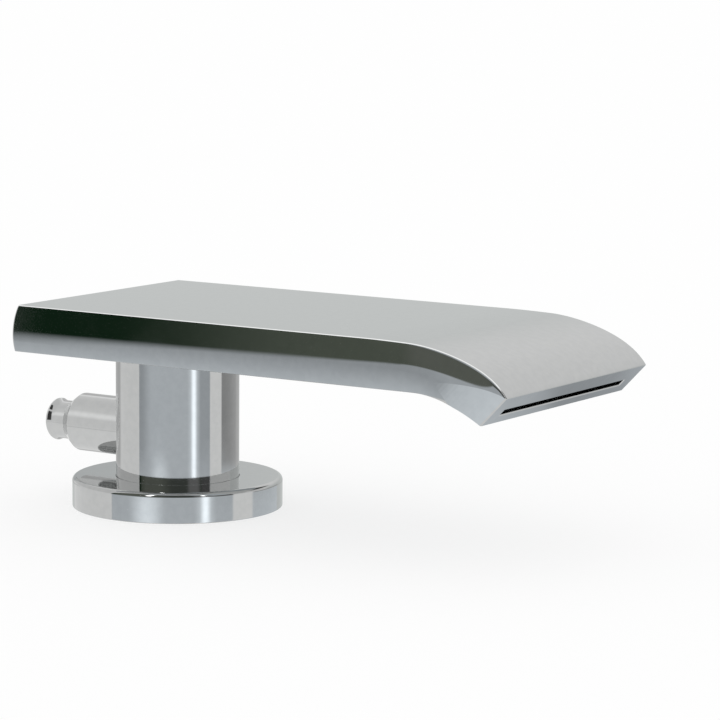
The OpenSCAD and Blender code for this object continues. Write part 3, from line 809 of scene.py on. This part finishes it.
class Graph:
    """Short calls for building a node tree. A value is a number, a colour or another node's output."""

    def __init__(self, tree):
        self.tree = tree

    def node(self, kind, **settings):
        """A new node with some of its settings."""
        made = self.tree.nodes.new(kind)
        for name, value in settings.items():
            setattr(made, name, value)
        return made

    def plug(self, socket, value):
        """Links a node's output to a socket, or sets a constant on it."""
        if isinstance(value, bpy.types.NodeSocket):
            self.tree.links.new(value, socket)
        else:
            socket.default_value = value

    def math(self, operation, *values):
        node = self.node("ShaderNodeMath", operation=operation)
        for socket, value in zip(node.inputs, values):
            self.plug(socket, value)
        return node.outputs[0]

    def plus(self, first, second):
        return self.math("ADD", first, second)

    def minus(self, first, second):
        return self.math("SUBTRACT", first, second)

    def times(self, first, second):
        return self.math("MULTIPLY", first, second)

    def outside(self, mask):
        """1 where a mask is 0, and the other way round."""
        return self.minus(1.0, mask)

    def blend(self, share, first, second):
        """A number between the first and, where share is 1, the second."""
        return self.plus(self.times(self.outside(share), first), self.times(share, second))

    def ramp(self, value, low, high, start=0.0, end=1.0, smooth=True):
        """From start at low to end at high, flat beyond them."""
        node = self.node("ShaderNodeMapRange", interpolation_type="SMOOTHSTEP" if smooth else "LINEAR")
        for socket, part in zip(node.inputs, (value, low, high, start, end)):
            self.plug(socket, part)
        return node.outputs[0]

    def slope(self, value, low, high, start, end):
        """A ramp that is straight, not smooth, between its ends."""
        return self.ramp(value, low, high, start, end, smooth=False)

    def between(self, value, low, high, soft):
        """1 from low to high and 0 outside them, over a soft edge."""
        rise = self.ramp(value, low - soft, low + soft)
        return self.times(rise, self.ramp(value, high - soft, high + soft, 1.0, 0.0))

    def mix(self, share, first, second):
        """A colour between the first and, where share is 1, the second."""
        node = self.node("ShaderNodeMix", data_type="RGBA")
        for place, value in zip(COLOUR_MIX_INPUTS, (share, first, second)):
            self.plug(node.inputs[place], value)
        return node.outputs[COLOUR_MIX_OUTPUT]

    def noise(self, where, scale, detail):
        node = self.node("ShaderNodeTexNoise")
        self.plug(node.inputs["Vector"], where)
        self.plug(node.inputs["Scale"], scale)
        self.plug(node.inputs["Detail"], detail)
        return node.outputs["Fac"]

    def stretched(self, where, scale):
        """Coordinates scaled by an amount along each axis."""
        node = self.node("ShaderNodeVectorMath", operation="MULTIPLY")
        self.plug(node.inputs[0], where)
        self.plug(node.inputs[1], scale)
        return node.outputs[0]

    def bump(self, height, strength, distance):
        node = self.node("ShaderNodeBump")
        self.plug(node.inputs["Height"], height)
        self.plug(node.inputs["Strength"], strength)
        self.plug(node.inputs["Distance"], distance)
        return node.outputs[0]


# The slight blue of the photograph's lower surroundings
COOL_RED = 0.94
COOL_BLUE = 1.055


def grey(value):
    return (value, value, value, 1)


def cool(value):
    """A light grey with a slight blue."""
    return (COOL_RED * value, value, COOL_BLUE * value, 1)


# Finishes. Noise scales are per metre, and bump distances in metres.
CHROME_TONES = ((0.537, 0.544, 0.542, 1), (0.563, 0.569, 0.566, 1))
BRASS_TONES = ((0.8, 0.63, 0.33, 1), (0.62, 0.47, 0.24, 1))
STEEL_TONES = ((0.64, 0.65, 0.66, 1), (0.5, 0.51, 0.52, 1))
COPPER_TONES = ((0.86, 0.47, 0.3, 1), (0.78, 0.4, 0.25, 1))
COPPER_OXIDE = (0.5, 0.23, 0.14, 1)
RUBBER_TONES = ((0.018, 0.018, 0.019, 1), (0.045, 0.045, 0.046, 1))
PLASTIC_TONES = ((0.2, 0.21, 0.22, 1), (0.27, 0.28, 0.29, 1))
RING_SCALE = 9000
RING_SPREAD = 40


def new_material(name, metallic):
    """A material with its graph, its shader and the piece's own coordinates in metres."""
    material = bpy.data.materials.new(name)
    material.use_nodes = True
    graph = Graph(material.node_tree)
    shader = material.node_tree.nodes["Principled BSDF"]
    shader.inputs["Metallic"].default_value = metallic
    where = graph.node("ShaderNodeTexCoord").outputs["Object"]
    return material, graph, shader.inputs, where


def chrome():
    """Polished chrome: a near mirror with faint clouds of tone and polishing haze."""
    material, g, inputs, where = new_material("chrome", 1)
    clouds = g.noise(where, scale=420, detail=3)
    haze = g.noise(where, scale=45, detail=4)
    ripple = g.noise(where, scale=300, detail=2)
    g.plug(inputs["Base Color"], g.mix(g.ramp(clouds, 0.3, 0.7), *CHROME_TONES))
    g.plug(inputs["Roughness"], g.ramp(haze, 0.35, 0.7, start=0.035, end=0.075))
    g.plug(inputs["Normal"], g.bump(ripple, strength=0.02, distance=0.00001))
    return material


def turned(name, tones, axis, roughness):
    """Lathe-turned metal: fine rings round an axis over slow changes of tone."""
    material, g, inputs, where = new_material(name, 1)
    scale = tuple(RING_SCALE if i == axis else RING_SPREAD for i in range(3))
    rings = g.noise(g.stretched(where, scale), scale=1, detail=2)
    patches = g.noise(where, scale=90, detail=4)
    g.plug(inputs["Base Color"], g.mix(g.ramp(patches, 0.3, 0.75), *tones))
    g.plug(inputs["Roughness"], g.ramp(rings, 0.3, 0.7, start=roughness - 0.06, end=roughness + 0.08))
    g.plug(inputs["Normal"], g.bump(rings, strength=0.25, distance=0.00003))
    return material


def copper():
    """Drawn copper tube: streaks along the tube and patches of darker oxide."""
    material, g, inputs, where = new_material("copper", 1)
    streaks = g.noise(g.stretched(where, (1500, 1500, 60)), scale=1, detail=3)
    oxide = g.noise(where, scale=70, detail=5)
    bright = g.mix(g.ramp(streaks, 0.3, 0.7), *COPPER_TONES)
    g.plug(inputs["Base Color"], g.mix(g.ramp(oxide, 0.48, 0.72), bright, COPPER_OXIDE))
    g.plug(inputs["Roughness"], g.ramp(oxide, 0.35, 0.7, start=0.2, end=0.38))
    g.plug(inputs["Normal"], g.bump(streaks, strength=0.15, distance=0.00003))
    return material


def moulded(name, tones, grain_scale, roughness):
    """Rubber or plastic: a fine moulded grain with a little dust in it."""
    material, g, inputs, where = new_material(name, 0)
    grain = g.noise(where, scale=grain_scale, detail=3)
    patches = g.noise(where, scale=120, detail=3)
    g.plug(inputs["Base Color"], g.mix(g.ramp(patches, 0.35, 0.75), *tones))
    g.plug(inputs["Roughness"], g.ramp(grain, 0.3, 0.7, start=roughness - 0.08, end=roughness + 0.08))
    g.plug(inputs["Normal"], g.bump(grain, strength=0.4, distance=0.00006))
    return material


def finishes():
    """One material for each slot, with the lathe marks of brass and steel round Z or round X."""
    made = {"chrome": chrome(), "copper": copper()}
    for axis, turned_on in ((2, ""), (0, "_on_x")):
        made["brass" + turned_on] = turned("brass" + turned_on, BRASS_TONES, axis, roughness=0.26)
        made["steel" + turned_on] = turned("steel" + turned_on, STEEL_TONES, axis, roughness=0.3)
    made["rubber"] = moulded("rubber", RUBBER_TONES, grain_scale=2600, roughness=0.62)
    made["plastic"] = moulded("plastic", PLASTIC_TONES, grain_scale=1500, roughness=0.45)
    return made


def dress(obj, node, made):
    """Gives an object the finish of its node's slot."""
    obj.data.materials.clear()
    obj.data.materials.append(made[SLOT_OF[node] + ("_on_x" if node in TURNED_ON_X else "")])


# Rooms that the chrome reflects. Azimuths run from -Y towards +X and elevations up from the horizon,
# in degrees. A tone of 1 is white.
CEILING = grey(1.7)
ZENITH = grey(1.25)
WALL = grey(0.92)
SIDE_WALL = grey(0.88)
REAR_WALL_FOOT = (0.665, 0.685, 0.68, 1)
REAR_TABLE = cool(0.65)
FRONT_AZ = (-119, 150)
FRONT_SOFT = 5
CEILING_SOFT = 4
BLACK_BOARD = grey(0.07)
# The front boards from left to right: each colour takes over along the direction's X part, then
# along azimuth
BOARD_LEFT = (0.008, 0.022, 0.011, 1)
BOARDS_BY_X = (
    (-0.605, -0.545, (0.1, 0.115, 0.092, 1)),
    (-0.545, -0.42, (0.14, 0.15, 0.13, 1)),
)
BOARD_FRONT = (0.075, 0.082, 0.074, 1)
BOARD_GAP = grey(0.2)
BOARD_RIGHT = grey(0.1)
# Elevation of the table's far edge, as the column and flange see it
TABLE_EL = -10.08
TABLE_SOFT = 0.15
FRONT_LIGHT = 0.67
LAMP_LEFT_AZ = 2.5
LAMP_RIGHT_AZ = 66.5
LAMP = grey(6.0)


class Sky:
    """A direction's azimuth, elevation and X part, as values of a graph."""

    def __init__(self, g, direction):
        split = g.node("ShaderNodeSeparateXYZ")
        g.plug(split.inputs[0], direction)
        x, y, z = split.outputs
        self.g = g
        self.x = x
        self.az = g.math("DEGREES", g.math("ARCTAN2", x, g.times(y, -1.0)))
        self.el = g.math("DEGREES", g.math("ARCSINE", z))

    def in_az(self, low, high, soft):
        return self.g.between(self.az, low, high, soft)

    def in_el(self, low, high, soft):
        return self.g.between(self.el, low, high, soft)

    def in_front(self):
        return self.in_az(*FRONT_AZ, FRONT_SOFT)

    def behind(self):
        return self.g.outside(self.in_front())


def white_room(g, sky, ceiling_el):
    """White walls, dimmer on the left and behind, a bright ceiling, and a pale table behind."""
    left = sky.in_az(-150, -41, soft=8)
    up_the_rear = g.ramp(sky.el, 7.5, 28)
    ceiling = g.ramp(sky.el, ceiling_el - CEILING_SOFT, ceiling_el + CEILING_SOFT)
    table = g.times(sky.behind(), sky.in_el(-60, -17, soft=4))
    wall = g.mix(left, WALL, SIDE_WALL)
    wall = g.mix(sky.behind(), wall, g.mix(up_the_rear, REAR_WALL_FOOT, SIDE_WALL))
    return g.mix(table, g.mix(ceiling, wall, CEILING), REAR_TABLE)


def tinted(g, tone):
    """The table's slightly blue light grey at a changing tone."""
    tint = g.node("ShaderNodeVectorMath", operation="SCALE")
    tint.inputs[0].default_value = cool(1.0)[:3]
    g.plug(tint.inputs["Scale"], tone)
    return tint.outputs[0]


def dark_boards(g, sky, sector, colour, light, edge_el, half):
    """Front: dark boards over a light table, black at the left and grey further right.

    They fade in round the elevation edge_el, over a band that reaches half above and below it.
    """
    not_straight_down = g.ramp(sky.el, -60, -66, 1.0, 0.0)
    colour = g.mix(g.times(sector, not_straight_down), colour, tinted(g, light))

    board = BOARD_LEFT
    for start_x, end_x, tone in BOARDS_BY_X:
        board = g.mix(g.ramp(sky.x, start_x, end_x), board, tone)
    to_the_front = g.ramp(sky.az, 0, 30)
    gap = sky.in_az(56, 77, soft=4)
    to_the_right = g.ramp(sky.az, 80, 84)
    board = g.mix(to_the_front, board, BOARD_FRONT)
    board = g.mix(gap, board, BOARD_GAP)
    board = g.mix(to_the_right, board, BOARD_RIGHT)

    rise = g.math("DIVIDE", g.minus(sky.el, g.minus(edge_el, half)), half)
    below_top = g.ramp(sky.el, 57, 62, 1.0, 0.0)
    dark = g.times(g.slope(rise, 0, 2, 0.0, 1.0), below_top)
    return g.mix(g.times(dark, sector), colour, board)


def paint_blade(g, sky):
    """What the blade and the small pieces reflect: the room, with dark boards beside the blade."""
    zenith = g.ramp(sky.el, 58, 70)
    colour = g.mix(zenith, white_room(g, sky, ceiling_el=42), ZENITH)

    # The outlet's face sees a darker strip low behind, and the bend has a black board on its right
    strip = g.plus(g.ramp(sky.el, -30.4, -29.9, 0.65, 0.55), g.ramp(sky.el, -29.5, -29.1, 0.0, -0.17))
    strip = g.plus(strip, g.ramp(sky.el, -28.0, -27.6, 0.0, 0.2))
    strip_place = g.times(sky.behind(), sky.in_el(-33, -19, soft=2))
    colour = g.mix(strip_place, colour, tinted(g, strip))
    right_board = g.times(sky.in_az(112, 142, soft=3), sky.in_el(-3, 54, soft=4))
    colour = g.mix(right_board, colour, BLACK_BOARD)

    # The light under the boards, from the straight side to the bend, and the boards' edge
    to_the_bend = g.ramp(sky.az, -31, -21)
    side_light = g.slope(sky.el, 0, -40, 0.45, 0.72)
    bend_light = g.slope(sky.el, 10, -30, 0.55, 0.93)
    light = g.blend(to_the_bend, side_light, bend_light)
    edge_el = g.plus(g.slope(sky.az, -41, -33.5, -12.0, 5.0), g.ramp(sky.az, -34, -31, 0.0, 6.5))
    edge_el = g.plus(edge_el, g.slope(sky.az, -31, 10, 0.0, 28.0))
    half = g.plus(g.slope(sky.az, -41, -35, 9.0, 4.5), g.ramp(sky.az, -35, -30, 0.0, -3.5))
    # The straight side sees only directions whose X part is the same as the view's
    sector = g.times(g.ramp(sky.x, -0.655, -0.64), sky.in_az(-90, 98.75, soft=1.25))
    return dark_boards(g, sky, sector, colour, light, edge_el, half)


def paint_base(g, sky):
    """What the column and flange reflect: the room, the table's edge, boards and two lamps."""
    colour = white_room(g, sky, ceiling_el=64)

    # Walls above the horizon are dimmer, and most of all behind on the left
    dim = g.times(g.ramp(sky.el, 0, 6), sky.in_front())
    colour = g.mix(dim, colour, grey(0.74))
    dimmer = g.times(sky.in_el(0, 30, soft=3), sky.in_az(-144, -119, soft=4))
    colour = g.mix(dimmer, colour, (0.5, 0.52, 0.525, 1))

    # Dim far end of the room, just below the horizon
    far = g.plus(sky.in_az(-140, -98, soft=6), g.outside(sky.in_az(-155, 168, soft=8)))
    far = g.times(far, sky.in_el(TABLE_EL, -6, soft=TABLE_SOFT))
    colour = g.mix(far, colour, grey(0.55))

    # Right: a board that stands on the table's far edge, with the light table below it
    right = sky.in_az(126, 176, soft=1.6)
    right_table = g.times(right, sky.in_el(-60, TABLE_EL, soft=TABLE_SOFT))
    right_board = g.times(right, sky.in_el(TABLE_EL, 0, soft=TABLE_SOFT))
    right_tone = g.mix(g.ramp(sky.az, 128, 178), grey(0.35), grey(0.48))
    colour = g.mix(right_table, colour, cool(0.76))
    colour = g.mix(right_board, colour, right_tone)
    high_board = g.times(sky.in_az(118, 170, soft=3), sky.in_el(26, 54, soft=4))
    colour = g.mix(high_board, colour, BLACK_BOARD)

    # Front: the table and the light below the boards, with the lamps' streaks
    on_table = g.ramp(sky.el, -10.2, -9.95, 1.0, 0.0)
    left_light = g.slope(sky.el, -5, -45, 0.44, 0.66)
    light = g.blend(g.ramp(sky.az, -36, -12), left_light, FRONT_LIGHT)
    table_edge = g.times(sky.in_el(-11.3, TABLE_EL, soft=TABLE_SOFT), g.ramp(sky.az, -42, -38))
    light = g.blend(table_edge, light, FRONT_LIGHT)
    right_shade = g.times(g.ramp(sky.az, 68, 81, 0.0, 0.17), g.outside(on_table))
    light = g.minus(light, right_shade)
    off_right = g.math("ABSOLUTE", g.minus(sky.az, LAMP_RIGHT_AZ))
    off_left = g.math("ABSOLUTE", g.minus(sky.az, LAMP_LEFT_AZ))
    right_glow = g.plus(g.ramp(off_right, 0.5, 7, 0.75, 0.0), g.ramp(off_right, 1, 14, 0.3, 0.0))
    left_glow = g.times(g.ramp(off_left, 1, 23, 0.5, 0.0), on_table)
    light = g.plus(light, g.plus(right_glow, left_glow))
    sector = g.times(g.ramp(sky.az, -40.8, -39.2), g.ramp(sky.az, 97.5, 100, 1.0, 0.0))
    colour = dark_boards(g, sky, sector, colour, light, edge_el=-1.0, half=3.0)

    # The lamps themselves, small and bright among the boards
    lamps = g.plus(
        sky.in_az(LAMP_RIGHT_AZ - 2, LAMP_RIGHT_AZ + 2, soft=1),
        sky.in_az(LAMP_LEFT_AZ - 3.5, LAMP_LEFT_AZ + 2.5, soft=1),
    )
    return g.mix(g.times(lamps, sky.in_el(26, 50, soft=4)), colour, LAMP)


def paint_side_light(g, sky):
    """What the knob and its bonnet reflect: light walls with a brighter band, and dark boards in front."""
    above_floor = g.ramp(sky.el, -14, -4)
    floor_edge = sky.in_el(-13, -11, soft=0.8)
    softbox = sky.in_el(22, 36, soft=6)
    ceiling = g.ramp(sky.el, 42, 62)
    rear = g.times(sky.in_az(-155, -133, soft=3), sky.in_el(-45, 28, soft=5))
    boards = g.plus(sky.in_el(-2, 43, soft=2), sky.in_el(52, 78, soft=3))
    boards = g.times(boards, sky.in_az(-12, 34, soft=4))
    colour = g.mix(above_floor, grey(0.95), grey(0.87))
    colour = g.mix(floor_edge, colour, grey(0.72))
    colour = g.mix(softbox, colour, grey(1.12))
    colour = g.mix(ceiling, colour, grey(0.8))
    colour = g.mix(rear, colour, grey(0.62))
    return g.mix(boards, colour, grey(0.06))


# Each dome lies outside the one before it, far enough away to stand for a room
DOME_R = 80000
DOME_STEP = 5000
FLOOR_R = 12000
FLOOR_Z = -0.1
FLOOR_TONE = 0.97
# How much of the floor is plain white where it is seen directly
FLOOR_WHITE = 0.75


def stage_material(name):
    """A material for the floor or a dome, and its graph without any nodes."""
    material = bpy.data.materials.new(name)
    material.use_nodes = True
    material.node_tree.nodes.clear()
    return material, Graph(material.node_tree)


def add_dome(name, radius, paint, receivers, clear):
    """A sphere far round the object that only its receivers' reflections see."""
    bm = bmesh.new()
    bmesh.ops.create_uvsphere(bm, u_segments=64, v_segments=32, radius=radius)
    dome = mesh_object(name, bm)
    material, g = stage_material(name)
    direction = g.node("ShaderNodeVectorMath", operation="NORMALIZE")
    g.plug(direction.inputs[0], g.node("ShaderNodeTexCoord").outputs["Object"])
    light = g.node("ShaderNodeEmission")
    g.plug(light.inputs["Color"], paint(g, Sky(g, direction.outputs[0])))
    shown = light.outputs[0]
    if clear:
        both = g.node("ShaderNodeAddShader")
        g.plug(both.inputs[0], shown)
        g.plug(both.inputs[1], g.node("ShaderNodeBsdfTransparent").outputs[0])
        shown = both.outputs[0]
    g.plug(g.node("ShaderNodeOutputMaterial").inputs[0], shown)
    material.cycles.emission_sampling = "NONE"
    dome.data.materials.append(material)
    dome.visible_camera = False
    dome.visible_diffuse = False
    dome.visible_shadow = False
    lit = bpy.data.collections.new(name)
    for obj in receivers:
        lit.objects.link(obj)
    dome.light_linking.receiver_collection = lit


def add_floor():
    """A pale floor that is nearly white where it is seen directly, and keeps a faint shadow."""
    bm = bmesh.new()
    bmesh.ops.create_circle(bm, cap_ends=True, segments=96, radius=FLOOR_R)
    floor = mesh_object("floor", bm)
    floor.location.z = FLOOR_Z * MM
    material, g = stage_material("floor")
    paint = g.node("ShaderNodeBsdfDiffuse")
    paint.inputs["Color"].default_value = grey(FLOOR_TONE)
    path = g.node("ShaderNodeLightPath").outputs
    direct = g.plus(path["Is Camera Ray"], path["Is Glossy Ray"])
    direct = g.plus(direct, path["Is Transmission Ray"])
    top = g.node("ShaderNodeMixShader")
    g.plug(top.inputs[0], g.times(direct, FLOOR_WHITE))
    g.plug(top.inputs[1], paint.outputs[0])
    g.plug(top.inputs[2], g.node("ShaderNodeEmission").outputs[0])
    # From below, the floor is clear
    sides = g.node("ShaderNodeMixShader")
    g.plug(sides.inputs[0], g.node("ShaderNodeNewGeometry").outputs["Backfacing"])
    g.plug(sides.inputs[1], top.outputs[0])
    g.plug(sides.inputs[2], g.node("ShaderNodeBsdfTransparent").outputs[0])
    g.plug(g.node("ShaderNodeOutputMaterial").inputs[0], sides.outputs[0])
    floor.data.materials.append(material)
    floor.visible_glossy = False


def add_world():
    """A plain white world, which lights the object evenly."""
    world = bpy.data.worlds.new("studio")
    world.use_nodes = True
    world.node_tree.nodes["Background"].inputs["Color"].default_value = grey(1.0)
    bpy.context.scene.world = world
    bpy.context.scene.view_settings.view_transform = "Standard"


add_camera()
add_world()
add_floor()
build_blade()
base = [build_column(), build_flange()]
side_lit = [build_bonnet(), build_knob()]
build_shank()
build_washer("washer_rubber", "rubber_washer", edge_r=0.5)
build_washer("washer_steel", "steel_washer", edge_r=0.25)
build_back_nut()
build_unions()
build_spring()

slot_finishes = finishes()
packed = frame["nodes"]
for obj, node in PIECES + [(packed[node], node) for node in packed]:
    dress(obj, node, slot_finishes)
rest = [obj for obj, node in PIECES if obj not in base + side_lit] + list(packed.values())
add_dome("blade_light", DOME_R, paint_blade, rest, clear=True)
add_dome("base_light", DOME_R + DOME_STEP, paint_base, base, clear=True)
add_dome("side_light", DOME_R + 2 * DOME_STEP, paint_side_light, side_lit, clear=False)
